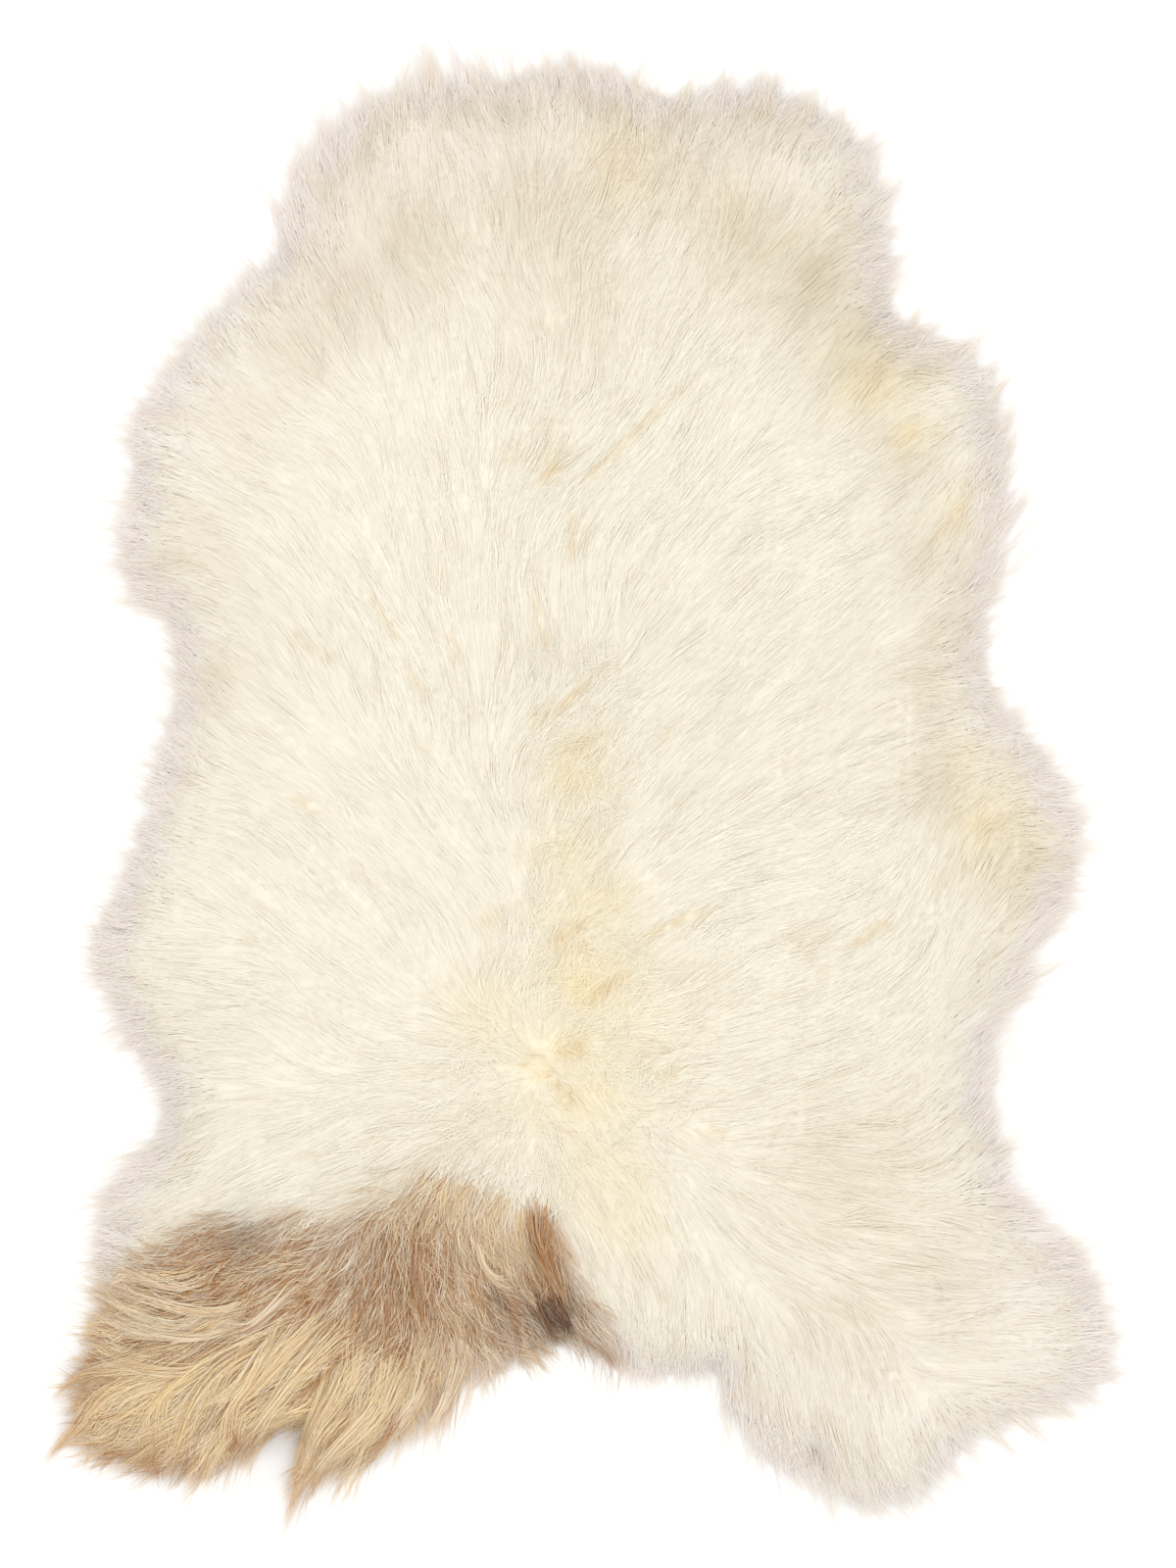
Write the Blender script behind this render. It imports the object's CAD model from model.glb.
import math

import bmesh
import bpy
import numpy as np
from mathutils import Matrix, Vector
from mathutils.bvhtree import BVHTree


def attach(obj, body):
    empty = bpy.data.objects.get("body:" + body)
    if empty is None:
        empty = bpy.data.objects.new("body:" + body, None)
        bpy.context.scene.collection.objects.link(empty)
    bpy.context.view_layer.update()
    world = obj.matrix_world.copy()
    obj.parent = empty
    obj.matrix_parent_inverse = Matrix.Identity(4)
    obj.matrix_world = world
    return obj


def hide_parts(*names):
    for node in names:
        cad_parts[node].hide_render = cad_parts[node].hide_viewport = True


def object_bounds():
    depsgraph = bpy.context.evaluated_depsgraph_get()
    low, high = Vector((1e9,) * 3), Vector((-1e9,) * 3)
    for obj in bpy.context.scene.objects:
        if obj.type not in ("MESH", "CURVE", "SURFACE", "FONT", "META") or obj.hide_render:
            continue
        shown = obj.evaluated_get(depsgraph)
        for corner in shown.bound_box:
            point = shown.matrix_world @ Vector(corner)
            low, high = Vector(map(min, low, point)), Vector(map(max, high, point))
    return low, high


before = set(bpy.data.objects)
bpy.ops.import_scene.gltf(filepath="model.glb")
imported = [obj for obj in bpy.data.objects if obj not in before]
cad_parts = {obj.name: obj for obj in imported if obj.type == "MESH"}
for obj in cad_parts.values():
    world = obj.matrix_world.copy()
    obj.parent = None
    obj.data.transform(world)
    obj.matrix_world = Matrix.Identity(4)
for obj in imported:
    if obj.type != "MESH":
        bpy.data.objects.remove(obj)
cad_low, cad_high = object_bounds()
fleece_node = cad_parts["fleece"]
hide_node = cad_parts["hide"]
MM = 0.001
print("CAD box, mm:", [round(side / MM) for side in cad_high - cad_low])

# %% [markdown]
# ## Colours and nodes
# A colour is written as the hex value that a screen shows, and shaders want linear light, so one function
# turns the one into the other. Another adds a shader node, sets it and links it, so that each material and
# the sky read as a short list of steps.
# %% Helpers for materials


def linear(code):
    """A hex colour such as #F4EDDA as linear RGBA."""
    parts = [int(code[i : i + 2], 16) / 255 for i in (1, 3, 5)]
    return (*(c / 12.92 if c <= 0.04045 else ((c + 0.055) / 1.055) ** 2.4 for c in parts), 1.0)


def new_material(name, settings):
    """A material with one Principled shader, whose constants are set on its own sockets."""
    made = bpy.data.materials.new(name)
    made.use_nodes = True
    shader = made.node_tree.nodes["Principled BSDF"]
    for key, value in settings.items():
        shader.inputs[key].default_value = value
    return made, shader


def add_node(made, kind, links=None, values=None, **settings):
    """Adds a node and returns its outputs; links fills inputs from other outputs, values with constants."""
    node = made.node_tree.nodes.new("ShaderNode" + kind)
    for key, value in settings.items():
        setattr(node, key, value)
    for key, value in (values or {}).items():
        node.inputs[key].default_value = value
    for key, source in (links or {}).items():
        made.node_tree.links.new(source, node.inputs[key])
    return node.outputs


def add_ramp(made, amount, stops):
    """The colour that a ramp gives for the amount; stops maps positions from 0 to 1 to hex colours."""
    colour = add_node(made, "ValToRGB", {"Fac": amount})["Color"]
    ramp = colour.node.color_ramp.elements
    ramp.remove(ramp[1])
    for k, (position, code) in enumerate(stops.items()):
        stop = ramp.new(position) if k else ramp[0]
        stop.position = position
        stop.color = linear(code)
    return colour


def dye(made, under, code, amount):
    """Lays a hex colour over what is under it, as strongly as amount says."""
    return add_node(made, "Mix", {"Factor": amount, 6: under}, {7: linear(code)}, data_type="RGBA")[2]


print("cream in linear light:", [round(part, 3) for part in linear("#F4EDDA")])

# %% [markdown]
# ## Camera, light and floor
# The photo looks straight down on the rug, lit from all round so that no shadow has an edge. A long lens
# high above keeps the rim from leaning outwards. One pixel of the photo is 0.725 mm on the floor, and the
# tables below give places in millimetres from the photo's middle, which lies at PHOTO_MIDDLE. The sky is
# brighter overhead than at the horizon, so the sides of the rug come out a little darker than its top. It
# is a touch warm and the two lamps a touch cool, so white stays white where both reach, and shadows stay
# warm. Pale fibres hand light on to each other many times, so light may bounce more often than usual, or
# the wool would turn grey between its locks.
# %% Camera and light
PHOTO_HIGH_PX = 1600
MM_PER_PX = 0.7246
PHOTO_MIDDLE = np.array([-2.2, -3.1]) * MM
CAMERA_HEIGHT = 3.4
SENSOR_MM = 36.0
HORIZON_LIGHT = 0.81
OVERHEAD_LIGHT = 1.035
SKY_COLOUR = (1.0, 0.993, 0.98, 1.0)
LAMP_COLOUR = (0.97, 0.995, 1.06)
scene = bpy.context.scene


def add_object(name, data):
    """Puts a new object with this data into the scene."""
    made = bpy.data.objects.new(name, data)
    scene.collection.objects.link(made)
    return made


def add_camera():
    data = bpy.data.cameras.new("photo_camera")
    data.sensor_width = SENSOR_MM
    data.lens = SENSOR_MM * CAMERA_HEIGHT / (PHOTO_HIGH_PX * MM_PER_PX * MM)
    camera = add_object("photo_camera", data)
    camera.location = (*PHOTO_MIDDLE, CAMERA_HEIGHT)
    return camera


def add_lamp(name, place, size, watts):
    """A round area light that faces the middle of the rug."""
    data = bpy.data.lights.new(name, "AREA")
    data.shape = "DISK"
    data.size = size
    data.energy = watts
    data.color = LAMP_COLOUR
    lamp = add_object(name, data)
    lamp.location = place
    lamp.rotation_euler = (-Vector(place)).to_track_quat("-Z", "Y").to_euler()


def add_sky():
    world = bpy.data.worlds.new("soft_studio")
    world.use_nodes = True
    upwards = add_node(world, "SeparateXYZ", {"Vector": add_node(world, "TexCoord")["Generated"]})["Z"]
    span = {"To Min": HORIZON_LIGHT, "To Max": OVERHEAD_LIGHT}
    strength = add_node(world, "MapRange", {"Value": upwards}, span)["Result"]
    background = world.node_tree.nodes["Background"].inputs
    background["Color"].default_value = SKY_COLOUR
    world.node_tree.links.new(strength, background["Strength"])
    return world


scene.camera = add_camera()
add_lamp("key_light", place=(-1.6, 1.9, 3.0), size=1.6, watts=23)
add_lamp("fill_light", place=(2.2, -1.4, 2.8), size=2.4, watts=21)
scene.world = add_sky()
scene.view_settings.view_transform = "Standard"
scene.cycles.max_bounces = 20
scene.cycles.diffuse_bounces = 14
print("lens, mm:", round(scene.camera.data.lens, 1))

# %% Floor
FLOOR_LEVEL = 0.2 * MM  # a hair above the hide's own face, so that the two don't fight for one place
FLOOR_HALF = 12.0
PAPER_CLOUDS = 27 * MM


def add_floor():
    """A wide sheet of matt white paper, which is never quite even in colour."""
    made, shader = new_material("matt_paper", {"Roughness": 0.9})
    place = add_node(made, "TexCoord")["Object"]
    clouds = add_node(made, "TexNoise", {"Vector": place}, {"Scale": 1 / PAPER_CLOUDS, "Detail": 2.0})["Fac"]
    colour = add_ramp(made, clouds, {0.0: "#F8F7F4", 1.0: "#FBFAF8"})
    made.node_tree.links.new(colour, shader.inputs["Base Color"])
    bm = bmesh.new()
    bmesh.ops.create_grid(bm, x_segments=1, y_segments=1, size=FLOOR_HALF)
    bmesh.ops.translate(bm, verts=bm.verts, vec=(0.0, 0.0, FLOOR_LEVEL))
    mesh = bpy.data.meshes.new("floor")
    bm.to_mesh(mesh)
    bm.free()
    mesh.materials.append(made)
    floor = add_object("floor", mesh)


add_floor()
print("floor, m across:", 2 * FLOOR_HALF)

# %% [markdown]
# ## The lie of the land
# Each lock of wool has to know how high the fleece is under it and how far off the rim is. Rays shot down
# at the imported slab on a 4 mm grid give its height. Averaging neighbours a few times rounds the lumps off.
# The `inset` field is how far inside the rim a place is, in metres, and below 0 outside it. It is found by
# handing distances on from each grid point to its neighbours, until none gets shorter. Narrow bays, where
# the photo shows floor between two locks, are finer than the slab and are cut out of the field by hand.
# %% Height and inset of the fleece
GRID = 4 * MM
MARGIN = 60 * MM
HEIGHT_ROUNDINGS = 6
FORM_ROUNDINGS = 50
INSET_ROUNDINGS = 3
INSET_PASSES = 45
BAYS = (
    # corners of each bay, x mm, y mm
    ((-262, -507), (-221, -472), (-210, -475), (-216, -507), (-228, -540)),
    ((-30, -428), (-19, -406), (-12, -406), (2, -430)),
    ((160, -530), (163, -492), (168, -489), (178, -507), (178, -532)),
    (
        (-213, -551), (-204, -533), (-192, -516), (-174, -506),
        (-141, -496), (-123, -485), (-105, -467), (-58, -551),
    ),
    ((-412, -426), (-379, -426), (-384, -456), (-390, -470), (-412, -476)),
)
VALLEY_ROUNDINGS = 200
VALLEY_FILL = 0.5
DEEPEST_VALLEY = 8 * MM
FULL_VALLEY_INSET = 60 * MM
BAY_HEIGHT = 4 * MM
BAY_SLOPE = 2.0

grid_low = np.array([cad_low.x - MARGIN, cad_low.y - MARGIN])
grid_count = np.ceil((np.array([cad_high.x, cad_high.y]) + MARGIN - grid_low) / GRID).astype(int)
grid_places = grid_low + GRID * np.stack(np.meshgrid(*map(np.arange, grid_count), indexing="ij"), -1)


def shoot_down():
    """Height of the slab's top at each grid point, 0 where there is none."""
    points = [v.co for v in fleece_node.data.vertices]
    faces = [tuple(p.vertices) for p in fleece_node.data.polygons]
    slab = BVHTree.FromPolygons(points, faces)
    down = Vector((0, 0, -1))
    heights = []
    for x, y in grid_places.reshape(-1, 2):
        hit = slab.ray_cast(Vector((x, y, 1.0)), down)[0]
        heights.append(hit.z if hit else 0.0)
    return np.reshape(heights, grid_count)


def from_photo(places):
    """Places in a table's millimetres from the photo's middle, turned into metres."""
    return np.array(places) * MM + PHOTO_MIDDLE


def gap_to_line(places, start, end):
    """Distance of each place from the straight line between start and end."""
    along = end - start
    share = np.clip((places - start) @ along / (along @ along), 0, 1)
    return np.linalg.norm(places - start - share[..., None] * along, axis=-1)


def inside_outline(places, outline, edge):
    """1 inside the outline, 0 outside, changing over about edge either side."""
    corners = from_photo(outline)
    inside = np.zeros(len(places), bool)
    nearest = np.full(len(places), np.inf)
    for start, end in zip(corners, np.roll(corners, -1, axis=0)):
        crosses = (start[1] > places[:, 1]) != (end[1] > places[:, 1])
        slope = (end[0] - start[0]) / (end[1] - start[1] + 1e-12)
        inside ^= crosses & (places[:, 0] < start[0] + slope * (places[:, 1] - start[1]))
        nearest = np.minimum(nearest, gap_to_line(places, start, end))
    return 0.5 + 0.5 * np.tanh(np.where(inside, nearest, -nearest) / edge)


def rounded(field, times):
    """The field after each value has been averaged with its four neighbours, several times over."""
    for _ in range(times):
        around = sum(np.roll(field, step, axis) for step in (1, -1) for axis in (0, 1))
        field = 0.5 * field + 0.125 * around
    return field


def read(field, places):
    """The field's value at each (x, y), by straight lines between the grid's points."""
    at = np.clip((places - grid_low) / GRID, 0, grid_count - 1.001)
    low = at.astype(int)
    i, j = low[..., 0], low[..., 1]
    u, v = np.moveaxis(at - low, -1, 0)
    across_low = field[i, j] * (1 - u) + field[i + 1, j] * u
    across_high = field[i, j + 1] * (1 - u) + field[i + 1, j + 1] * u
    return across_low * (1 - v) + across_high * v


def distance_to(goal):
    """Distance of each grid point to the nearest point of the goal."""
    found = np.where(goal, 0.5 * GRID, 1.0)
    for _ in range(INSET_PASSES):
        for step in ((1, 0), (0, 1), (1, 1), (1, -1)):
            for way in (1, -1):
                passed_on = np.roll(found, (way * step[0], way * step[1]), (0, 1))
                found = np.minimum(found, passed_on + GRID * math.hypot(*step))
    return found


raw_height = shoot_down()
height = rounded(raw_height, HEIGHT_ROUNDINGS)
valley = np.clip(rounded(raw_height, VALLEY_ROUNDINGS) - height, 0, DEEPEST_VALLEY)
form = rounded(raw_height, FORM_ROUNDINGS)
on_slab = raw_height > 0
for bay in BAYS:
    in_bay = inside_outline(grid_places.reshape(-1, 2), bay, 1 * MM).reshape(grid_count) > 0.5
    on_slab &= ~in_bay
inset = np.where(on_slab, distance_to(~on_slab) - GRID, GRID - distance_to(on_slab))
inset = rounded(inset, INSET_ROUNDINGS)
height = height + VALLEY_FILL * valley * np.clip(inset / FULL_VALLEY_INSET - 0.5, 0, 1)
height = np.minimum(height, BAY_HEIGHT + BAY_SLOPE * np.maximum(inset, 0))
slab_area = (inset > 0).sum() * GRID**2
print("wool covers, m2:", round(slab_area, 3), "highest, mm:", round(height.max() / MM))

# %% [markdown]
# ## Combing
# Wool on a pelt lies the way it grew: away from the rump and the parting down the back, outwards at the
# rim, down the hind legs. That is read from the photo as comb strokes, each a place and a heading in
# degrees, 0 towards +X and 90 towards the neck. Between strokes the heading is a blend of the nearest ones,
# worked out once for each point of the grid.
# %% Comb strokes
COMB_STROKES = (
    # x mm, y mm, heading
    # left side
    (-35, 110, 96), (-130, 105, 109), (-130, 215, 111), (-60, 350, 108), (-200, 175, 122),
    (-195, 105, 128), (-225, 5, 143), (-270, 120, 158), (-230, 255, 150), (-255, 215, 156),
    (-90, -70, 126), (-200, -170, 142), (-270, -150, 174), (-235, -70, 130), (-280, -40, 165),
    (-325, -115, 178), (-310, -200, 190), (-300, -265, 208), (-320, 210, 167), (-315, 145, 180),
    (-300, 70, 150),
    # crown and right side
    (-12, 245, 52), (5, 305, 81), (15, 235, 37), (60, 285, 56), (20, 430, 68), (85, 315, 60),
    (140, 355, 40), (165, 270, 45), (180, 225, 24), (-10, 65, 44), (40, 15, 50), (85, 85, 45),
    (155, 135, 36), (180, 60, 35), (190, -15, 30), (45, -115, 32), (125, -80, 20), (140, -235, 16),
    (180, -290, 1), (280, -250, 42), (275, 55, 5), (275, -60, 72), (300, -120, 50), (340, -50, -2),
    (320, -150, 38),
    # neck
    (-220, 450, 112), (-265, 375, 122), (-175, 515, 106), (-100, 530, 110), (-95, 445, 104),
    (-160, 390, 108), (-20, 520, 90), (45, 500, 86), (95, 435, 69), (100, 515, 72), (165, 480, 58),
    (215, 445, 50), (225, 390, 32),
    # right foreleg
    (275, 320, 12), (280, 200, 48), (315, 195, 62), (295, 120, 37),
    # below the rump
    (-115, -235, 190), (-180, -275, 202), (-80, -290, 252), (35, -315, 300),
    # right hind leg
    (150, -335, -26), (300, -345, -6), (290, -380, 6), (300, -410, 0), (330, -460, -8), (200, -455, -72),
    (155, -435, -81), (110, -440, -80), (255, -510, -62),
    # tail
    (72, -392, -90), (-20, -365, -63), (-55, -380, -40), (-80, -355, -70),
    # left hind leg
    (-120, -465, -114), (-140, -365, -100), (-255, -380, 204), (-325, -390, 176), (-190, -415, 212),
    (-235, -450, 219), (-262, -485, 242), (-325, -480, 202), (-165, -445, 230), (-192, -483, 238),
    (-210, -525, 250),
    # whorl at the rump
    (0, -181, 50), (-14, -210, -30), (7, -239, -40), (-43, -188, 128), (-58, -228, 195),
    (-29, -254, -80), (40, -217, 24), (-22, -130, 78), (18, -116, 42), (33, -275, -42),
)
STROKE_REACH = 22 * MM
STROKE_FALL = 2.2


def unit(arrows):
    """The arrows, each made one long."""
    return arrows / (np.linalg.norm(arrows, axis=-1, keepdims=True) + 1e-12)


def comb_field():
    """The unit direction in which the wool lies at each grid point, as two fields."""
    total = np.zeros(grid_places.shape)
    for x, y, heading in COMB_STROKES:
        angle = math.radians(heading)
        gap = ((grid_places - from_photo((x, y))) ** 2).sum(-1) / STROKE_REACH**2
        total += np.array([math.cos(angle), math.sin(angle)]) / (1 + gap[..., None]) ** STROKE_FALL
    return np.moveaxis(unit(total), -1, 0)


comb_x, comb_y = comb_field()


def combed(places):
    """The unit direction in which the wool lies at each (x, y)."""
    return unit(np.stack([read(comb_x, places), read(comb_y, places)], -1))


print("comb strokes:", len(COMB_STROKES))

# %% [markdown]
# ## Clouds of chance
# Nothing in a fleece is even, yet neighbouring locks are alike. A cloud is smooth noise: random values on a
# coarse grid, blended between its points. Clouds of several sizes turn, lift and tint the wool.
# %% Smooth noise
CLOUD_CELLS = 97
CLOUD_SHIFT = 1000.37  # keeps every place at a positive cell


def cloud(places, size, seed):
    """Smooth noise from about -1 to 1, whose patches are about size across."""
    values = np.random.default_rng(seed).uniform(-1, 1, (CLOUD_CELLS, CLOUD_CELLS))
    at = places / size + CLOUD_SHIFT
    low = np.floor(at).astype(int)
    share = at - low
    u, v = np.moveaxis(share * share * (3 - 2 * share), -1, 0)
    i, j = np.moveaxis(low % CLOUD_CELLS, -1, 0)
    i2, j2 = (i + 1) % CLOUD_CELLS, (j + 1) % CLOUD_CELLS
    near = values[i, j] * (1 - u) + values[i2, j] * u
    far = values[i, j2] * (1 - u) + values[i2, j2] * u
    return near * (1 - v) + far * v


print("spread of a cloud:", round(cloud(grid_places, 50 * MM, 41).std(), 2))

# %% [markdown]
# ## Tufts and creases
# Locks mat together into tufts two or three centimetres wide that lie along the combing. To get them, a
# cloud is smeared along the wool: each grid point takes the mean of the cloud along a short walk through
# it. The result is a field of soft long ridges, which is added to the height. Where tufts part, a crease
# shows deeper and yellower wool. The creases that show in the photo are short straight stretches.
# %% Tuft ridges
TUFT_WIDTH = 13 * MM
TUFT_REACH = 34 * MM
TUFT_STEPS = 10
TUFT_RISE = 1.3 * MM
TUFT_INSET = 20 * MM
FORM_SHADING = 0.3
TUFT_SHADING = 0.3


def smeared(size, seed):
    """A cloud averaged along the combing, scaled to a spread of about 1."""
    total = np.zeros(grid_places.shape[:2])
    for way in (1, -1):
        places = grid_places.copy()
        for _ in range(TUFT_STEPS):
            total += cloud(places, size, seed)
            places = places + way * TUFT_REACH / TUFT_STEPS * combed(places)
    return total / total.std()


tuft_ridges = rounded(TUFT_RISE * np.tanh(0.6 * smeared(TUFT_WIDTH, 21)), 1)
tuft_ridges *= np.clip(inset / TUFT_INSET, 0, 1)
wool_top = height + tuft_ridges
shading_slopes = [
    FORM_SHADING * broad + TUFT_SHADING * fine
    for broad, fine in zip(np.gradient(form, GRID), np.gradient(rounded(tuft_ridges, 2), GRID))
]
print("tuft ridges, mm:", round(tuft_ridges.min() / MM, 1), "to", round(tuft_ridges.max() / MM, 1))

# %% Creases
CREASES = (
    # from x mm, y mm, to x mm, y mm, half-width mm, strength
    # whorl and parting
    (1, 225, 51, 271, 3.0, 0.45), (51, 271, 74, 290, 3.0, 0.25), (-12, 196, -11, 165, 4.0, 0.35),
    (-40, 139, -30, 99, 3.0, 0.35),
    # middle of the back
    (-41, 47, -22, 53, 4.0, 0.6), (-22, 53, 1, 75, 3.0, 0.6), (1, 75, 14, 86, 3.0, 0.3),
    (-14, 27, 10, 35, 8.0, 0.3), (-16, 18, -10, -9, 7.0, 0.2), (51, 28, 62, 45, 3.0, 0.35),
    # loin
    (-75, -100, -64, -94, 4.0, 0.45), (-25, -116, -6, -103, 5.0, 0.7), (-17, -123, -3, -117, 3.5, 0.6),
    (0, -158, 27, -139, 5.0, 0.55), (40, -112, 72, -97, 3.5, 0.45), (72, -97, 84, -93, 3.5, 0.3),
    # rump
    (-18, -197, -7, -192, 5.0, 0.6), (-46, -207, -29, -214, 4.5, 0.6), (-29, -214, -12, -233, 4.0, 0.5),
    (-18, -250, 0, -265, 3.5, 0.35), (54, -213, 65, -209, 4.0, 0.4),
    # right flank and hind leg
    (87, -255, 98, -254, 4.0, 0.35), (145, -107, 172, -139, 4.0, 0.35), (190, -120, 221, -99, 3.5, 0.4),
    (221, -429, 243, -449, 5.0, 0.3), (243, -449, 261, -471, 4.0, 0.3),
    # left side
    (-216, 109, -203, 100, 3.5, 0.4), (-204, 100, -186, 90, 3.0, 0.45), (-217, -9, -193, -19, 3.0, 0.45),
    (-156, 134, -139, 105, 3.0, 0.3), (-128, 80, -118, 64, 3.0, 0.35), (-100, 105, -91, 87, 3.5, 0.35),
    # right of the neck and foreleg
    (127, 383, 181, 423, 4.0, 0.3), (251, 174, 279, 210, 4.0, 0.4),
)
CREASE_DEPTH = 2 * MM


def crease(places):
    """How far into a crease each place is, from 0 to about 1."""
    total = np.zeros(places.shape[:-1])
    for x0, y0, x1, y1, half, strength in CREASES:
        gap = gap_to_line(places, from_photo((x0, y0)), from_photo((x1, y1))) / (half * MM)
        total = np.maximum(total, strength * np.exp(-(gap**2)))
    return total


def top_of_wool(places):
    """Height of the coat over the floor at each (x, y)."""
    return read(wool_top, places) - CREASE_DEPTH * crease(places)


print("creases:", len(CREASES))

# %% [markdown]
# ## Where the colours lie
# The pelt is cream, yellower along the back, whiter low on the left, and one hind leg is brown, with
# golden locks, caramel tips and a dark spot by the tail. Two things set a fibre's colour. Its dyes are
# those of the skin that it grows from, so they are looked up once, at its root. Its tints come from wear,
# grease and dust, so they are looked up all along it. The brown leg is an outline with an edge that is
# ragged on the scale of a lock. Small patches are round spots, and the rim has a pinkish grey of its own.
# %% Colour map
BROWN_LEG = (
    # x mm, y mm, round the brown hind leg
    (-365, -385), (-322, -362), (-298, -336), (-268, -320), (-217, -315), (-181, -318), (-150, -300),
    (-118, -282), (-85, -278), (-50, -296), (-32, -316), (-18, -356), (-3, -392), (8, -430), (8, -560),
    (-420, -560), (-420, -400),
)
SPOTS = {
    # x mm, y mm, radius mm, strength
    "stain": (
        (29, 460, 28, 0.75), (40, 500, 19, 0.4), (105, 424, 22, 0.35), (210, 301, 26, 0.85),
        (188, 319, 17, 0.4), (235, 254, 17, 0.5), (279, 203, 19, 0.45), (-7, 7, 26, 0.5),
        (-9, -51, 32, 0.35), (0, -94, 36, 0.45), (0, -145, 41, 0.6), (-14, -188, 41, 0.5),
        (-29, -228, 30, 0.35), (-7, -185, 80, 0.3), (0, -232, 38, 0.45), (11, -283, 33, 0.5),
        (29, -319, 29, 0.35), (293, -29, 25, 0.35), (344, -51, 22, 0.3), (-72, -167, 36, 0.3),
        (-34, -205, 24, 0.4),
    ),
    "tan": (
        (290, -22, 24, 0.3), (268, 8, 24, 0.22), (308, -66, 24, 0.28), (279, 29, 13, 0.25),
        (254, 72, 10, 0.25), (259, -72, 9, 0.25), (319, 0, 14, 0.2), (29, 460, 24, 0.35),
        (212, 304, 9, 0.45), (236, 257, 7, 0.4), (-26, 230, 7, 0.75), (-54, 239, 6, 0.3),
        (304, -36, 29, 0.25), (-104, 534, 14, 0.6), (-15, -193, 7, 0.4), (-37, -209, 9, 0.35),
        (-15, -230, 8, 0.4),
    ),
    "beige": (
        (29, 460, 26, 0.85), (-29, 435, 72, 0.7), (65, 456, 58, 0.8), (116, 406, 51, 0.75),
        (167, 370, 43, 0.85), (210, 319, 43, 0.8), (-130, 406, 51, 0.75), (-181, 370, 43, 0.85),
        (-217, 326, 36, 0.55), (239, 239, 36, 0.3), (254, 167, 36, 0.3), (268, 101, 36, 0.4),
        (-297, 174, 43, 0.3), (-7, 362, 58, 0.4), (-264, 275, 36, 0.4), (319, -43, 40, 0.35),
        (243, 72, 29, 0.35), (250, 0, 29, 0.35), (261, -362, 65, 0.4), (-217, 333, 43, 0.35),
        (-275, 80, 25, 0.35), (-301, 14, 19, 0.3), (-87, -261, 29, 0.3), (43, -355, 25, 0.2),
        (-29, 254, 25, 0.25), (-160, 450, 50, 0.65), (-80, 495, 55, 0.65), (20, 500, 60, 0.65),
        (120, 480, 50, 0.65), (190, -290, 70, 0.4), (190, -400, 60, 0.4),
    ),
    "shade": (
        (-200, 400, 62, 0.4), (-165, 455, 55, 0.4), (-105, 480, 60, 0.4), (-20, 480, 60, 0.3),
        (70, 475, 60, 0.3), (140, 460, 50, 0.3), (-290, 315, 55, 0.5), (-310, 250, 40, 0.45),
        (325, -370, 55, 0.5), (330, -430, 50, 0.5), (240, -470, 70, 0.4), (150, -450, 50, 0.4),
    ),
    "pale": (
        (-341, -341, 36, 0.85), (-377, -355, 29, 0.7), (-300, -337, 20, 0.3), (-357, -330, 24, 0.8),
        (-352, -372, 20, 0.45), (-87, -293, 26, 0.35), (-56, -312, 28, 0.65), (-66, -345, 18, 0.35),
        (-174, -322, 25, 0.35), (-76, -446, 42, 0.85), (-116, -464, 22, 0.4),
    ),
    "gold": (
        (-217, -449, 58, 1.0), (-290, -471, 58, 1.0), (-355, -464, 51, 0.9), (-145, -464, 43, 0.8),
        (-283, -362, 22, 0.3), (-341, -391, 33, 0.45), (-101, -464, 29, 0.5),
    ),
    "straw": (
        (-105, -430, 30, 0.6), (-94, -290, 29, 0.5), (-54, -308, 29, 0.7), (-40, -337, 14, 0.4),
        (-123, -301, 22, 0.3),
    ),
    "rust": (
        (14, -426, 13, 0.55), (-290, -342, 22, 0.3), (-33, -320, 13, 0.6), (-32, -338, 14, 0.85),
        (-30, -355, 13, 0.85), (-22, -371, 11, 0.7),
    ),
    "caramel": (
        (-373, -442, 19, 0.3), (-391, -489, 26, 0.4), (-326, -507, 29, 0.3), (-220, -540, 25, 0.45),
        (-250, -493, 19, 0.25),
    ),
    "dark": (
        (-23, -393, 19, 1.0), (-34, -386, 19, 0.45), (-40, -352, 18, 0.3), (-64, -380, 9, 0.7),
        (-54, -395, 22, 0.35), (1, -414, 12, 0.25), (-152, -362, 43, 0.15), (-29, -355, 12, 0.2),
        (-255, -333, 22, 0.42),
    ),
    "tufted": (  # no colour: it marks where the rim ends in tufts
        (-120, 500, 120, 1.0), (80, 510, 120, 1.0), (205, 460, 70, 1.0), (290, 320, 70, 0.8),
        (240, -500, 120, 1.0), (130, -470, 60, 0.8),
    ),
}
LEG_EDGE = 12 * MM
RAGGED_SIZE = 18 * MM
RAGGED_REACH = 8 * MM
BLOTCH_SIZE = 24 * MM
RIM_SHADE_FROM = 24 * MM
RIM_SHADE_TO = -2 * MM
RIM_SHADE = 1.1
RIM_SHADE_SIZE = 26 * MM


def fading(places, x, y, radius):
    """1 at a place read from the photo, fading away at about radius from it."""
    gap = ((places - from_photo((x, y))) ** 2).sum(-1)
    return np.exp(-gap / (radius * MM) ** 2)


def spot(places, name):
    """How strong the round spots of one name are at each place."""
    total = np.zeros(places.shape[:-1])
    for x, y, radius, strength in SPOTS[name]:
        total = np.maximum(total, strength * fading(places, x, y, radius))
    return total


def ragged(places):
    """The places, each pushed about a little, so that a colour's edge breaks up into locks."""
    push = [cloud(places, RAGGED_SIZE, seed) for seed in (31, 32)]
    return places + RAGGED_REACH * np.stack(push, -1)


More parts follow.
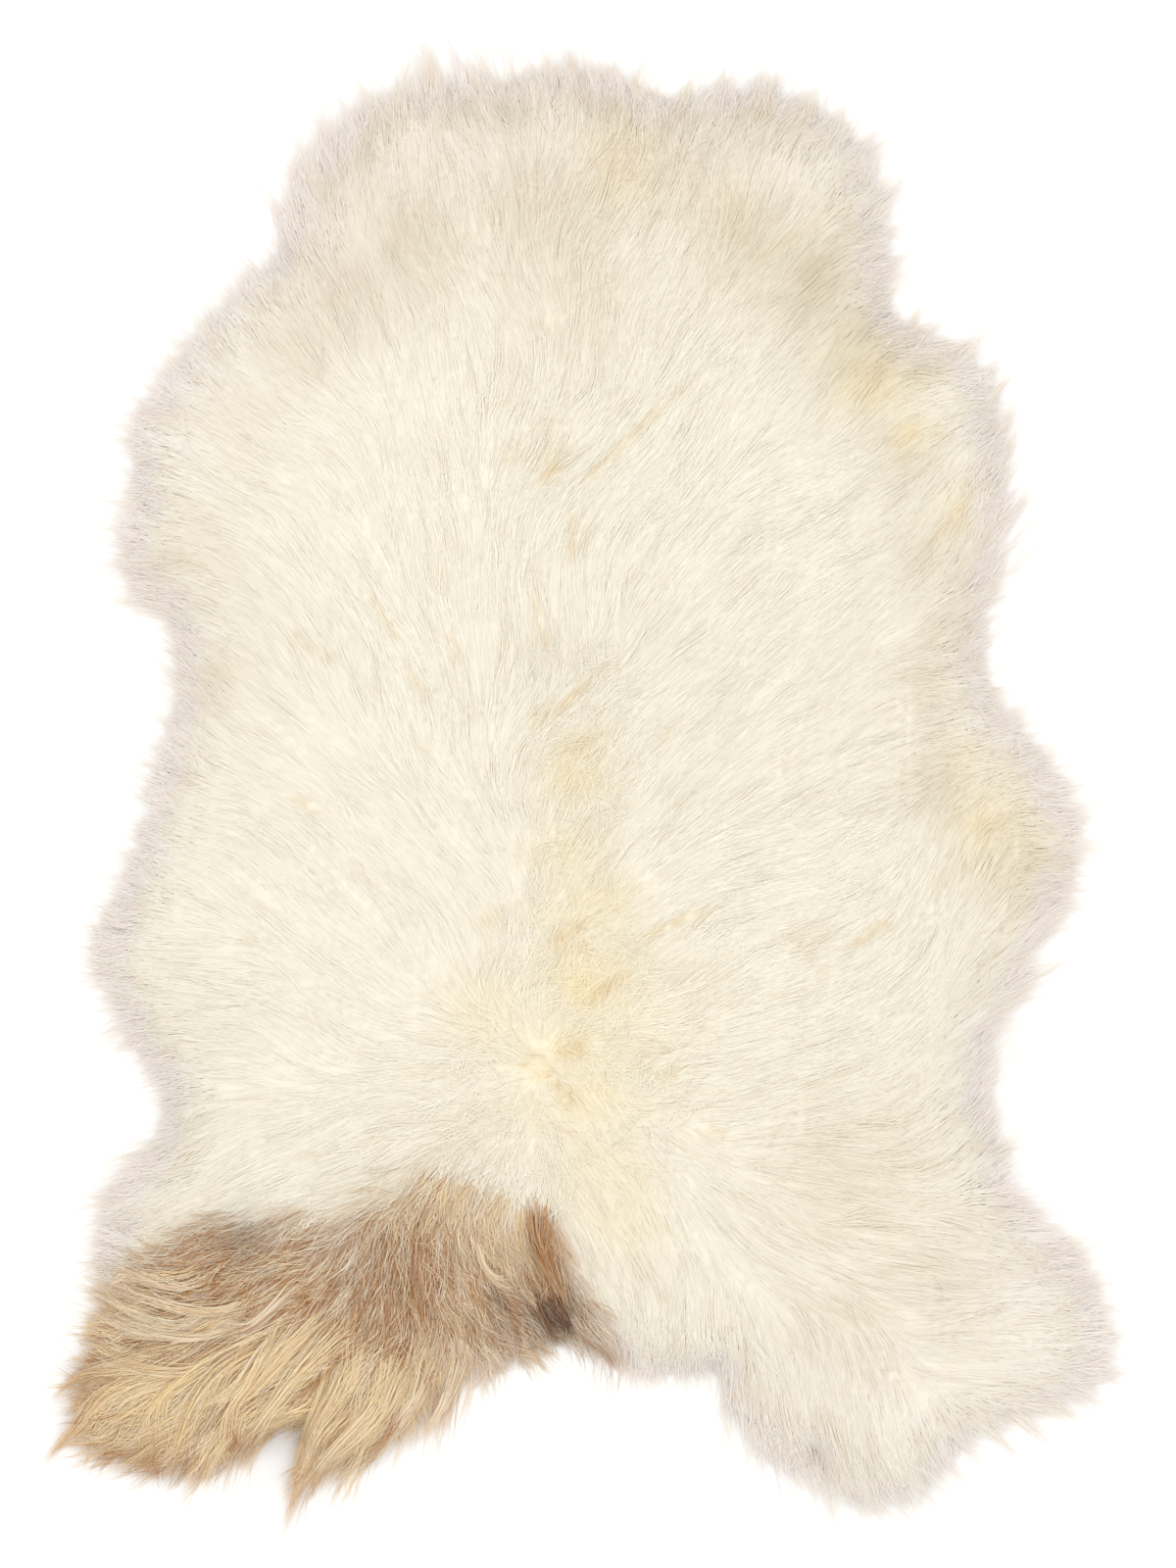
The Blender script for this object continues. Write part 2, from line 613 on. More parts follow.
def brown_at(places):
    """How brown the wool is that grows at each place."""
    brown = inside_outline(ragged(places), BROWN_LEG, LEG_EDGE)
    return brown * (1 - spot(places, "pale"))


def wool_tints(places):
    """Stain, tan, beige and shade at each place."""
    blotch = 0.85 + 0.3 * cloud(places, BLOTCH_SIZE, 33)
    stain = spot(places, "stain") * blotch
    tan = np.maximum(spot(places, "tan") * blotch, 0.8 * crease(places))
    off_rim = read(inset, places) + 6 * MM * cloud(places, RIM_SHADE_SIZE, 34)
    near_rim = np.clip((RIM_SHADE_FROM - off_rim) / (RIM_SHADE_FROM - RIM_SHADE_TO), 0, 1)
    near_rim *= near_rim * (3 - 2 * near_rim) * (1 - 0.2 * spot(places, "tufted"))
    shade = np.maximum(spot(places, "shade"), RIM_SHADE * near_rim)
    return np.clip(np.stack([stain, tan, spot(places, "beige"), shade], -1), 0, 1)


print("spots:", sum(map(len, SPOTS.values())))

# %% [markdown]
# ## Growing locks
# Wool grows in locks: fibres rooted a few millimetres apart that lean together towards a shared tip. Each
# lock gets a guide that starts at its root and walks along the combing, and each fibre keeps beside its
# guide, drawing closer to it. Hair particles would be quicker, but they aren't a mesh, so other programs
# would lose them. Each fibre is a flat ribbon of a few faces instead, and all fibres of a coat are joined
# in one mesh from arrays. A real fibre is 0.03 mm across, too thin to show, so a ribbon stands for a wisp
# of them, a half to one millimetre wide.
# %% Planting and guiding locks
SWAY = 0.3
BROAD_SWAY = 55 * MM
FINE_SWAY = 23 * MM
TOUSLED = (
    # x mm, y mm, radius mm, how far the wool turns from the combing, in radians
    (-6, -212, 60, 1.0),  # rump
    (-26, 228, 26, 0.8),  # whorl
    (-10, 40, 34, 0.5),  # spine
    (-4, -110, 46, 0.6),  # loin
)
TOUSLE_SIZE = 30 * MM
PROBES = 10


def plant(spacing, keep, rng):
    """Root places on a jittered grid, where keep says so."""
    wide, long = grid_count * GRID
    xs = np.arange(grid_low[0], grid_low[0] + wide, spacing)
    ys = np.arange(grid_low[1], grid_low[1] + long, spacing)
    roots = np.stack(np.meshgrid(xs, ys, indexing="ij"), -1).reshape(-1, 2)
    roots = roots + rng.uniform(-0.5, 0.5, roots.shape) * spacing
    return roots[keep(roots)]


def turned(arrows, angles):
    """Flat arrows, each turned left by its own angle."""
    c, s = np.cos(angles), np.sin(angles)
    x, y = arrows[..., 0], arrows[..., 1]
    return np.stack([x * c - y * s, x * s + y * c], -1)


def tousle(places):
    """How far the wool at each place turns away from the combing."""
    total = np.zeros(places.shape[:-1])
    for x, y, radius, angle in TOUSLED:
        total += angle * fading(places, x, y, radius)
    return total * cloud(places, TOUSLE_SIZE, 43)


def walk(roots, lengths, stages, turn=0.0):
    """The guide of each lock: its root, then a step along the combing for each stage."""
    path = [roots]
    for _ in range(stages):
        here = path[-1]
        sway = SWAY * (0.6 * cloud(here, BROAD_SWAY, 41) + 0.4 * cloud(here, FINE_SWAY, 42))
        arrows = turned(combed(here), sway + tousle(here) + turn)
        path.append(here + arrows * (lengths / stages)[:, None])
    return np.stack(path, 1)


def kept_in(roots, lengths, least_inset, shortest):
    """The lengths, cut where a lock would stand out past the rim by too much, but not below the shortest."""
    out = read(inset, walk(roots, lengths, PROBES)) < least_inset[:, None]
    first = np.where(out.any(1), out.argmax(1), PROBES)
    return np.maximum(lengths * first / PROBES, shortest)


def short_of_brown(roots, lengths):
    """The lengths, up to half shorter where a pale lock would reach over the brown leg."""
    return lengths * (1 - 0.5 * brown_at(walk(roots, lengths, 3)[:, -1]))


print("most tousled, degrees:", round(math.degrees(np.abs(tousle(grid_places)).max())))

# %% [markdown]
# ## From locks to ribbons
# A ribbon's middle line lies a millimetre or two over the fleece: its root is buried, its belly rides up,
# and its tip comes down again. Past the rim it sinks to the floor. Its two edges are set off sideways, and
# it is rolled a little about its own length. Its normals, which decide how it catches the light, follow
# the fleece's broad form and its tufts much more than the ribbon's own tilt. Light goes into real wool and
# comes out softened, and this has that effect for nothing.
# Each ribbon also gets its own cell of the texture sheet, in which an export can store its colours.
# %% Building ribbons
BURIED = 1.5 * MM
FLOOR_GAP = 0.7 * MM


def beside_guides(guides, per_lock, spread, gather, wave, stray, rng):
    """The middle lines of all fibres: each keeps off its guide, and closes in on it towards the tip."""
    locks, points, _ = guides.shape
    along = np.linspace(0, 1, points)[None, :, None]

    def each(values):
        return np.repeat(values, per_lock)[:, None, None]

    guides = np.repeat(guides, per_lock, axis=0)
    fibres = len(guides)
    path = guides[:, :1] + (guides - guides[:, :1]) * rng.uniform(0.72, 1.12, (fibres, 1, 1))
    path = path + each(spread) * rng.normal(0, 1, (fibres, 1, 2)) * (1 - each(gather) * along**0.8)
    ahead = unit(np.gradient(path, axis=1))
    across = np.stack([-ahead[..., 1], ahead[..., 0]], -1)
    phase = each(rng.uniform(0, 2 * math.pi, locks)) + rng.normal(0, 0.5, (fibres, 1, 1))
    turns = each(rng.uniform(0.7, 1.3, locks))
    bend = np.sin(2 * math.pi * turns * along + phase) - np.sin(phase)
    astray = stray * rng.normal(0, 1, (fibres, 1, 1)) * along**1.5
    return path + across * (each(wave) * bend * along**0.6 + astray)


def lay_down(path, lift):
    """Adds the height over the floor to each middle line."""
    along = np.linspace(0, 1, path.shape[1])
    over = lift[:, None] * (0.3 + 0.7 * np.sin(math.pi * np.minimum(1.0, along * 1.05)))
    z = top_of_wool(path) + over - BURIED * (1 - along) ** 4
    return np.concatenate([path, np.maximum(z, FLOOR_GAP)[..., None]], axis=2)


def ribbon_arrays(lines, width, roll):
    """Corner places of all ribbons: left and right edges at every stage but the last, and one tip."""
    along = np.linspace(0, 1, lines.shape[1])
    ahead = unit(np.gradient(lines, axis=1))
    side = unit(np.stack([ahead[..., 1], -ahead[..., 0], np.zeros(ahead.shape[:2])], -1))
    up = np.cross(side, ahead)
    c, s = np.cos(roll)[:, None, None], np.sin(roll)[:, None, None]
    side, tilt = side * c + up * s, up * c - side * s
    taper = (0.75 + 0.5 * along) * (1 - along**2.5)
    half = side * (0.5 * width[:, None] * taper)[..., None]
    edges = np.stack([lines - half, lines + half], axis=2)[:, :-1]
    corners = np.concatenate([edges.reshape(len(lines), -1, 3), lines[:, -1:]], axis=1)
    corners[..., 2] = np.maximum(corners[..., 2], FLOOR_GAP / 2)
    return corners, np.concatenate([np.repeat(tilt[:, :-1], 2, axis=1), tilt[:, -1:]], axis=1)


def soft_normals(corners, tilt, own_tilt):
    """Normals that follow the fleece's form and tufts, and only a little each ribbon's own tilt."""
    places = corners[..., :2]
    slope = [read(field, places) for field in shading_slopes]
    normals = unit(np.stack([-slope[0], -slope[1], np.ones(slope[0].shape)], -1))
    return unit(normals + own_tilt * tilt)


def add_attributes(mesh, dyes, tints, growth):
    """Stores four dyes, four tints and the place along and across its fibre with each corner."""
    for name, values in (("dyes", dyes), ("tints", tints), ("growth", growth)):
        column = mesh.attributes.new(name, "FLOAT_COLOR", "POINT")
        column.data.foreach_set("color", values.astype(np.float32).ravel())


def ribbon_mesh(name, lines, width, roll, own_tilt, dyes, tints, chance):
    """One mesh of many ribbons, with their dyes and their place along the fibre as attributes."""
    fibres, points, _ = lines.shape
    stages = points - 1
    corners, tilt = ribbon_arrays(lines, width, roll)
    each = corners.shape[1]
    stage = np.append(np.repeat(np.arange(stages), 2), stages)
    edge = np.array([0.0, 1.0] * stages + [0.5])
    quads = [(2 * k, 2 * k + 1, 2 * k + 3, 2 * k + 2) for k in range(stages - 1)]
    pattern = np.append(quads, (each - 3, each - 2, each - 1))
    corner_of_loop = np.arange(fibres)[:, None] * each + pattern
    sizes = np.tile([4] * len(quads) + [3], fibres)

    mesh = bpy.data.meshes.new(name)
    mesh.vertices.add(fibres * each)
    mesh.vertices.foreach_set("co", corners.astype(np.float32).ravel())
    mesh.loops.add(corner_of_loop.size)
    mesh.loops.foreach_set("vertex_index", corner_of_loop.astype(np.int32).ravel())
    mesh.polygons.add(len(sizes))
    mesh.polygons.foreach_set("loop_start", (np.cumsum(sizes) - sizes).astype(np.int32))
    mesh.polygons.foreach_set("use_smooth", np.ones(len(sizes), bool))

    columns = math.ceil(math.sqrt(fibres * 4))
    rows = math.ceil(fibres / columns)
    row, column = np.divmod(np.arange(fibres)[:, None], columns)
    u = (column + 0.15 + 0.7 * edge[pattern]) / columns
    v = (row + 0.08 + 0.84 * stage[pattern] / stages) / rows
    sheet = mesh.uv_layers.new(name="OFBake")
    sheet.uv.foreach_set("vector", np.stack([u, v], -1).astype(np.float32).ravel())

    growth = [np.tile(stage / stages, fibres), np.repeat(chance, each), np.tile(edge, fibres)]
    growth = np.stack([*growth, growth[1]], 1)  # a colour has four parts, so one comes twice
    add_attributes(mesh, dyes[:, stage], tints[:, stage], growth)
    mesh.update()
    mesh.validate()
    mesh.normals_split_custom_set_from_vertices(soft_normals(corners, tilt, own_tilt).reshape(-1, 3))
    return mesh


print("steepest shading slope:", round(max(np.abs(slope).max() for slope in shading_slopes), 2))

# %% [markdown]
# ## The wool material
# Wool is keratin, IOR about 1.55, with scales that scatter most of the light and keep a soft sheen. Its
# colour is built up as on a real pelt. The fleece is cream, and no two fibres quite match, with a yellowed
# one here and there. A fibre is yellower at its root. Tints of grease, sun and dust lie over that, then the
# brown leg's own colours. Noise stretched along the fibre draws the finer fibres of a wisp.
# %% Wool
BASE_COLOURS = {0.0: "#ECDCC2", 0.06: "#F0E7D4", 0.14: "#F3EDDA", 1.0: "#F5F0E1"}
WOOL_TINTS = {"stain": "#FDECBB", "tan": "#E6CA90", "beige": "#E0D3B9", "shade": "#F7F0EC"}
WOOL_DYES = {"brown": "#B07238", "gold": "#FAE2AF", "rust": "#BC7820", "dark": "#52291A"}
FINE_FIBRES = 5.0  # drawn across each ribbon, so that it looks like a wisp
WOOL_IOR = 1.55


def long_wool():
    looks = {"Roughness": 0.62, "Specular IOR Level": 0.25, "Sheen Weight": 0.08, "Sheen Roughness": 0.4}
    made, shader = new_material("long_wool", looks | {"IOR": WOOL_IOR})

    def parts(name):
        """The four parts of an attribute."""
        whole = add_node(made, "Attribute", attribute_name=name)
        split = add_node(made, "SeparateColor", {"Color": whole["Color"]})
        return split["Red"], split["Green"], split["Blue"], whole["Alpha"]

    along, chance, edge, _ = parts("growth")
    colour = add_ramp(made, chance, BASE_COLOURS)
    root = add_node(made, "MapRange", {"Value": along}, {"From Max": 0.25, "To Min": 0.15, "To Max": 0.0})
    colour = dye(made, colour, "#F0E2C8", root["Result"])
    for name, codes in (("tints", WOOL_TINTS), ("dyes", WOOL_DYES)):
        for amount, code in zip(parts(name), codes.values()):
            colour = dye(made, colour, code, amount)

    fibre = add_node(made, "CombineXYZ", {"X": edge, "Y": chance, "Z": along})["Vector"]
    drawn = add_node(made, "Mapping", {"Vector": fibre}, {"Scale": (FINE_FIBRES, 90.0, 0.6)})["Vector"]
    fine = add_node(made, "TexNoise", {"Vector": drawn}, {"Scale": 1.0, "Detail": 2.0})["Fac"]
    streak = add_node(made, "MapRange", {"Value": fine}, {"To Min": 0.955, "To Max": 1.03})["Result"]
    value = add_node(made, "HueSaturation", {"Value": streak, "Color": colour})["Color"]
    made.node_tree.links.new(value, shader.inputs["Base Color"])
    return made


wool = long_wool()
print("shader nodes of the wool:", len(wool.node_tree.nodes))

# %% [markdown]
# ## The coats
# The body coat is most of the wool, in soft locks with a drawn-out one lying over them here and there. At
# the rump, where the combing parts every way, a second coat covers the ground, and short tufts lie along
# the back. The brown hind leg has fine wavy underwool with long golden locks over it. The rim coat is thin
# wisps that hang past the hide's edge, and the stray coat is single fibres that stand off. They are
# separate pieces, each under 200,000 triangles. Chance gives each lock of a coat its own looks.
# %% Making a coat


def make_piece(name, mesh):
    """An object of wool that belongs to the rug."""
    mesh.materials.append(wool)
    piece = add_object(name, mesh)
    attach(piece, "root")
    return piece


def draw_looks(rng, count, **looks):
    """Values for each lock's looks, in millimetres but for gather: a pair is a range to draw them from."""
    for key, value in looks.items():
        values = rng.uniform(*value, count) if isinstance(value, tuple) else np.full(count, value)
        looks[key] = values if key == "gather" else values * MM
    return looks | {"brown": np.zeros(count), "gold": np.zeros(count)}


def grow_coat(name, guides, looks, seed, per_lock, width, own_tilt=0.1, stray=0.0, variety=0.0, pieces=1):
    """Grows fibres beside each guide and joins their ribbons into one mesh, or several.

    Looks holds one value a lock of spread, gather, wave and lift, and of its brown and gold dyes. Variety
    is how much browner or paler than its lock a fibre may be.
    """
    rng = np.random.default_rng(seed)

    def each(values):
        return np.repeat(values, per_lock)

    path = beside_guides(guides, per_lock, *(looks[key] for key in ("spread", "gather", "wave")), stray, rng)
    fibres = len(path)
    lines = lay_down(path, each(looks["lift"]) * rng.uniform(0.3, 1.3, fibres))
    lock_chance = each(rng.uniform(0, 1, len(guides)))
    chance = np.clip(0.15 * lock_chance + 0.85 * rng.uniform(0, 1, fibres), 0, 1)
    brown, gold = each(looks["brown"]), each(looks["gold"])
    pale = rng.uniform(0, 1, fibres) ** 2.4
    gold = np.clip(gold * rng.uniform(0.3, 1.2, fibres) + 0.7 * brown * pale, 0, 1)
    dusky = 0.35 * brown * (rng.uniform(0, 1, fibres) > 0.86)
    brown = np.clip(brown * (1 - 0.95 * pale) + variety * rng.normal(0, 1, fibres), 0, 1)
    waist = path[:, path.shape[1] // 2]
    rust = spot(waist, "rust") * rng.uniform(0.3, 1.0, fibres)
    dark = np.maximum(spot(waist, "dark") * rng.uniform(0.6, 1.1, fibres), dusky)
    dyes = np.repeat(np.stack([brown, gold, rust, dark], -1)[:, None], path.shape[1], axis=1)
    dyes[..., 2] = np.maximum(dyes[..., 2], spot(path, "caramel"))
    tints = wool_tints(path)
    lock_shade = each(rng.uniform(0.45, 1.15, len(guides))) * rng.uniform(0.8, 1.1, fibres)
    tints[..., 3] = np.clip(tints[..., 3] * (lock_shade * (1 - 0.7 * brown))[:, None], 0, 1)
    widths = width * rng.uniform(0.7, 1.3, fibres)
    roll = rng.normal(0, 0.35, fibres)
    made = []
    for k, part in enumerate(np.array_split(np.arange(fibres), pieces)):
        label = name if pieces == 1 else f"{name}_{k + 1}"
        columns = (values[part] for values in (dyes, tints, chance))
        mesh = ribbon_mesh(label, lines[part], widths[part], roll[part], own_tilt, *columns)
        made.append(make_piece(label, mesh))
    print(name, "locks:", len(guides), "fibres:", fibres, "triangles:", fibres * (2 * path.shape[1] - 3))
    return made


# %% Body coat
BODY_SPACING = 8.35 * MM
BODY_LENGTH = 62 * MM
TUFT_THINNING = 7 * MM
DRAWN_SHARE = 0.09

chance = np.random.default_rng(3)
roots = plant(BODY_SPACING, lambda p: read(inset, p) > 8 * MM, chance)
brown_here = brown_at(roots)
roots, brown_here = roots[brown_here < 0.5], brown_here[brown_here < 0.5]
count = len(roots)
lengths = BODY_LENGTH * chance.uniform(0.8, 1.15, count)
reach = chance.uniform(-9, 9, count) * MM + TUFT_THINNING * spot(roots, "tufted")
lengths = short_of_brown(roots, kept_in(roots, lengths, reach, shortest=14 * MM))
drawn = chance.uniform(0, 1, count) < DRAWN_SHARE
looks = draw_looks(
    chance,
    count,
    spread=np.where(drawn, 3.4, 5.0),
    gather=np.where(drawn, 0.6, 0.1),
    wave=np.where(drawn, 1.4, 0.7),
    lift=np.where(drawn, chance.uniform(0.6, 1.3, count), chance.uniform(0.15, 0.5, count)),
)
looks["brown"] = 0.8 * brown_here
guides = walk(roots, lengths, stages=4, turn=np.where(drawn, chance.normal(0, 0.14, count), 0.0))
ribbons = {"per_lock": 9, "width": 0.95 * MM, "own_tilt": 0.04, "stray": 3 * MM}
coats = grow_coat("body_wool", guides, looks, seed=5, pieces=4, **ribbons)

# %% Locks at the rump
RUMP_MIDDLE = from_photo((-15, -210))
RUMP_SIZE = 85 * MM
RUMP_SPACING = 7.5 * MM
RUMP_LENGTH = 48 * MM

rump_chance = np.random.default_rng(21)
roots = plant(RUMP_SPACING, lambda p: np.linalg.norm(p - RUMP_MIDDLE, axis=1) < RUMP_SIZE, rump_chance)
roots = roots[brown_at(roots) < 0.5]
count = len(roots)
lengths = short_of_brown(roots, RUMP_LENGTH * rump_chance.uniform(0.7, 1.2, count))
looks = draw_looks(rump_chance, count, spread=5.0, gather=(0.0, 0.4), wave=(0.7, 1.6), lift=(0.3, 1.0))
guides = walk(roots, lengths, stages=4, turn=rump_chance.normal(0, 0.5, count))
coats += grow_coat("rump_wool", guides, looks, seed=14, **ribbons)

# %% Tufts along the back
BACK_TUFTS_FROM = from_photo((-18, 70))
BACK_TUFTS_TO = from_photo((-12, -262))
BACK_TUFTS_WIDE = 31 * MM
BACK_SPACING = 8.5 * MM
BACK_LENGTH = 30 * MM

roots = plant(
    BACK_SPACING, lambda p: gap_to_line(p, BACK_TUFTS_FROM, BACK_TUFTS_TO) < BACK_TUFTS_WIDE, chance
)
count = len(roots)
looks = draw_looks(chance, count, spread=5.5, gather=(0.0, 0.6), wave=(0.8, 2.0), lift=(0.3, 1.3))
lengths = BACK_LENGTH * chance.uniform(0.7, 1.4, count)
guides = walk(roots, lengths, stages=5, turn=chance.normal(0, 0.8, count))
ribbons = {"per_lock": 14, "width": 0.7 * MM, "own_tilt": 0.08, "stray": 3 * MM}
coats += grow_coat("back_tufts", guides, looks, seed=11, **ribbons)

# %% Leg coat
LEG_SPACING = 6.6 * MM
LEG_LENGTH = 40 * MM
GOLD_THINNING = 9 * MM

roots = plant(LEG_SPACING, lambda p: (read(inset, p) > 5 * MM) & (brown_at(p) > 0.35), chance)
count = len(roots)
golden = spot(roots, "gold")
lengths = LEG_LENGTH * chance.uniform(0.8, 1.2, count)
reach = chance.uniform(-3, 7, count) * MM + GOLD_THINNING * golden
lengths = kept_in(roots, lengths, reach, shortest=14 * MM)
looks = draw_looks(chance, count, spread=3.4, gather=(0.1, 0.6), wave=(0.8, 2.6), lift=(0.8, 3.0))
looks["brown"] = brown_at(roots) * np.where(chance.uniform(0, 1, count) < 0.15, 0.6, 1.0)
looks["gold"] = np.clip(0.7 * golden + spot(roots, "straw") + 0.2 * chance.uniform(-1, 1, count), 0, 1)
guides = walk(roots, lengths, stages=5, turn=chance.normal(0, 0.25, count))
ribbons = {"per_lock": 15, "width": 0.5 * MM, "own_tilt": 0.5, "stray": 4 * MM, "variety": 0.25}
coats += grow_coat("leg_underwool", guides, looks, seed=6, **ribbons)

# %% Golden locks
GOLD_SPACING = 10.5 * MM
GOLD_LENGTH = 78 * MM

roots = plant(
    GOLD_SPACING,
    lambda p: (read(inset, p) > 10 * MM) & (spot(p, "gold") > chance.uniform(0.1, 0.6, len(p))),
    chance,
)
count = len(roots)
lengths = GOLD_LENGTH * chance.uniform(0.75, 1.25, count)
lengths = kept_in(roots, lengths, chance.uniform(-5, 12, count) * MM, shortest=20 * MM)
browner = chance.uniform(0, 1, count) < 0.22
looks = draw_looks(chance, count, spread=(3.0, 4.6), gather=0.9, wave=(1.5, 4.5), lift=(2.0, 6.0))
looks["brown"] = np.where(browner, 0.95, chance.uniform(0.0, 0.45, count))
looks["gold"] = np.where(browner, 0.15, chance.uniform(0.6, 1.0, count))
guides = walk(roots, lengths, stages=8, turn=chance.normal(0, 0.14, count))
ribbons = {"per_lock": 18, "width": 0.5 * MM, "own_tilt": 0.5, "stray": 2 * MM, "variety": 0.3}
coats += grow_coat("golden_locks", guides, looks, seed=7, **ribbons)

# %% [markdown]
# ## Locks placed by hand
# Some locks are large enough to be known one by one: the long hank between the legs, the points at the
# leg's corner, the pale locks that lie over the brown. Each is a smooth curve through four places read
# from the photo, with its own width and colour.
# %% Hand-placed locks
LONG_LOCKS = (
    # root x, y, first bend x, y, second bend x, y, tip x, y, spread, all in mm, then brown and gold
    # hank
    (-165, -400, -172, -443, -201, -480, -220, -545, 6.5, 0.3, 0.8),
    (-149, -417, -156, -456, -188, -493, -209, -518, 4.5, 0.2, 0.8),
    (-181, -420, -194, -456, -206, -485, -215, -529, 4.0, 0.5, 0.6),
    # ends of the leg's locks
    (-180, -395, -214, -428, -238, -464, -261, -494, 5.5, 0.1, 0.8),
    (-199, -391, -232, -424, -261, -456, -274, -489, 5.0, 0.3, 0.8),
    (-225, -400, -245, -435, -264, -462, -268, -501, 4.5, 0.3, 0.9),
    (-238, -409, -272, -431, -294, -462, -309, -509, 5.0, 0.3, 0.9),
    (-264, -414, -297, -436, -320, -465, -326, -516, 4.5, 0.4, 0.9),
    (-286, -428, -328, -441, -354, -462, -374, -507, 5.0, 0.3, 0.9),
    (-326, -436, -361, -452, -380, -477, -399, -499, 5.0, 0.3, 0.9),
    (-312, -417, -348, -428, -370, -436, -390, -452, 4.5, 0.5, 0.6),
    # side of the leg
    (-274, -380, -302, -401, -330, -398, -361, -389, 3.5, 0.15, 0.3),
    (-214, -364, -234, -383, -254, -395, -281, -390, 3.5, 0.25, 0.3),
    # between the hank and the tail
    (-139, -429, -152, -464, -172, -485, -194, -501, 5.0, 0.1, 0.8),
    (-116, -422, -127, -449, -141, -471, -161, -491, 5.0, 0.15, 0.7),
    (-94, -424, -101, -446, -111, -464, -125, -480, 4.0, 0.3, 0.5),
    # tail
    (-80, -335, -77, -354, -67, -364, -56, -370, 1.6, 0.45, 0.35),
    (-50, -357, -47, -371, -40, -381, -32, -387, 1.4, 0.6, 0.3),
    # over the leg
    (-279, -360, -297, -366, -326, -361, -357, -354, 2.6, 0.3, 0.4),
    (-245, -377, -279, -385, -319, -377, -359, -371, 3.0, 0.35, 0.5),
    (-254, -394, -286, -404, -326, -400, -362, -388, 2.4, 0.2, 0.5),
    (-267, -416, -296, -430, -326, -429, -359, -422, 3.0, 0.4, 0.6),
    # rust and dark tufts by the tail
    (-38, -312, -35, -332, -30, -352, -23, -371, 6.5, 0.7, 0.2),
    (-33, -335, -28, -354, -22, -371, -13, -388, 6.0, 0.8, 0.2),
    (-25, -373, -22, -384, -18, -395, -17, -407, 3.4, 1.0, 0.0),
    (-38, -375, -35, -388, -29, -399, -25, -410, 3.0, 1.0, 0.0),
    (-9, -393, -1, -404, 9, -417, 20, -433, 5.0, 0.6, 0.1),
)
LONG_STAGES = 12


def through_points(points, stages):
    """A smooth curve through the points, with its ends carried straight on."""
    ends = np.concatenate([2 * points[:1] - points[1:2], points, 2 * points[-1:] - points[-2:-1]])
    t = np.linspace(0, len(points) - 1.0001, stages + 1)
    i = t.astype(int)
    t = (t - i)[:, None]
    before, start, end, after = (ends[i + k] for k in range(4))
    return 0.5 * (
        2 * start
        + (end - before) * t
        + (2 * before - 5 * start + 4 * end - after) * t**2
        + (3 * start - before - 3 * end + after) * t**3
    )


rows = np.array(LONG_LOCKS)
guides = np.stack([through_points(from_photo(row[:8].reshape(4, 2)), LONG_STAGES) for row in rows])
looks = draw_looks(
    chance, len(rows), spread=rows[:, 8], gather=(0.75, 0.95), wave=(0.8, 2.6), lift=(4.0, 7.0)
)
looks |= {"brown": rows[:, 9], "gold": rows[:, 10]}
ribbons = {"per_lock": 56, "width": 0.5 * MM, "own_tilt": 0.5, "stray": 1.8 * MM, "variety": 0.3}
coats += grow_coat("long_locks", guides, looks, seed=9, **ribbons)

# %% [markdown]
# The pale wool ends in tufts too. At the neck they stand out like a torn edge, and the other hind leg ends
# in long locks. Each is a root, a tip and how far it bows to its left on the way.
# %% Pale tufts
PALE_TUFTS = (
    # root x mm, y mm, tip x mm, y mm, bow mm
    # neck
    (-223, 397, -235, 433, -3), (-206, 407, -219, 462, -4), (-190, 419, -222, 456, 4),
    (-180, 438, -197, 478, -3), (-168, 456, -185, 510, -4), (-156, 472, -174, 523, -4),
    (-146, 467, -162, 510, -3), (-135, 477, -132, 536, 4), (-119, 487, -112, 538, 3),
    (-91, 494, -107, 551, -4), (-72, 487, -81, 528, -3), (-51, 484, -68, 513, 3),
    (-39, 490, -50, 536, -4), (-19, 490, -36, 545, -5), (-1, 494, -14, 546, 4), (9, 499, -4, 538, -3),
    (19, 496, 6, 533, -4), (30, 499, 19, 536, 3), (41, 497, 30, 525, -3), (49, 490, 45, 513, 2),
    (67, 483, 77, 522, 3), (93, 490, 100, 529, -3), (106, 490, 109, 525, 3), (114, 491, 128, 529, -4),
    (126, 488, 145, 526, 4), (136, 483, 154, 510, -3), (148, 483, 167, 517, -4), (157, 478, 172, 503, 3),
    (172, 471, 191, 504, -4), (181, 459, 199, 493, 3), (193, 452, 213, 485, -4), (203, 441, 223, 471, 4),
    (210, 423, 232, 451, -4),
    # right shoulder and foreleg
    (207, 401, 233, 407, 4), (204, 381, 236, 394, -4), (209, 349, 233, 368, 3), (223, 322, 246, 354, -4),
    (236, 314, 259, 341, 3), (252, 301, 280, 330, -4), (265, 304, 299, 332, 4), (281, 284, 304, 316, -4),
    (291, 270, 313, 301, 4), (297, 245, 316, 287, -4), (299, 223, 319, 261, 3), (303, 190, 325, 216, -4),
    (296, 170, 320, 196, 4), (290, 142, 310, 174, -4),
    # right hind leg
    (103, -420, 97, -475, 3), (110, -426, 123, -480, -6), (116, -438, 158, -523, -9),
    (128, -432, 145, -507, -7), (139, -432, 171, -525, -7), (154, -442, 183, -536, -7),
    (167, -449, 194, -533, -6), (175, -449, 206, -545, -6), (185, -464, 219, -545, -6),
    (201, -461, 233, -530, -6), (207, -475, 239, -551, -7), (225, -464, 259, -536, -6),
    (239, -468, 267, -516, -4), (251, -468, 281, -519, -4), (262, -461, 294, -501, -4),
    (283, -459, 320, -496, -4), (306, -461, 339, -487, 4), (332, -461, 365, -472, 4),
    (349, -449, 393, -441, 6), (349, -433, 400, -435, -4), (348, -413, 399, -409, 4),
    (341, -391, 380, -384, -4), (333, -371, 371, -357, 4), (326, -358, 374, -351, 4),
)
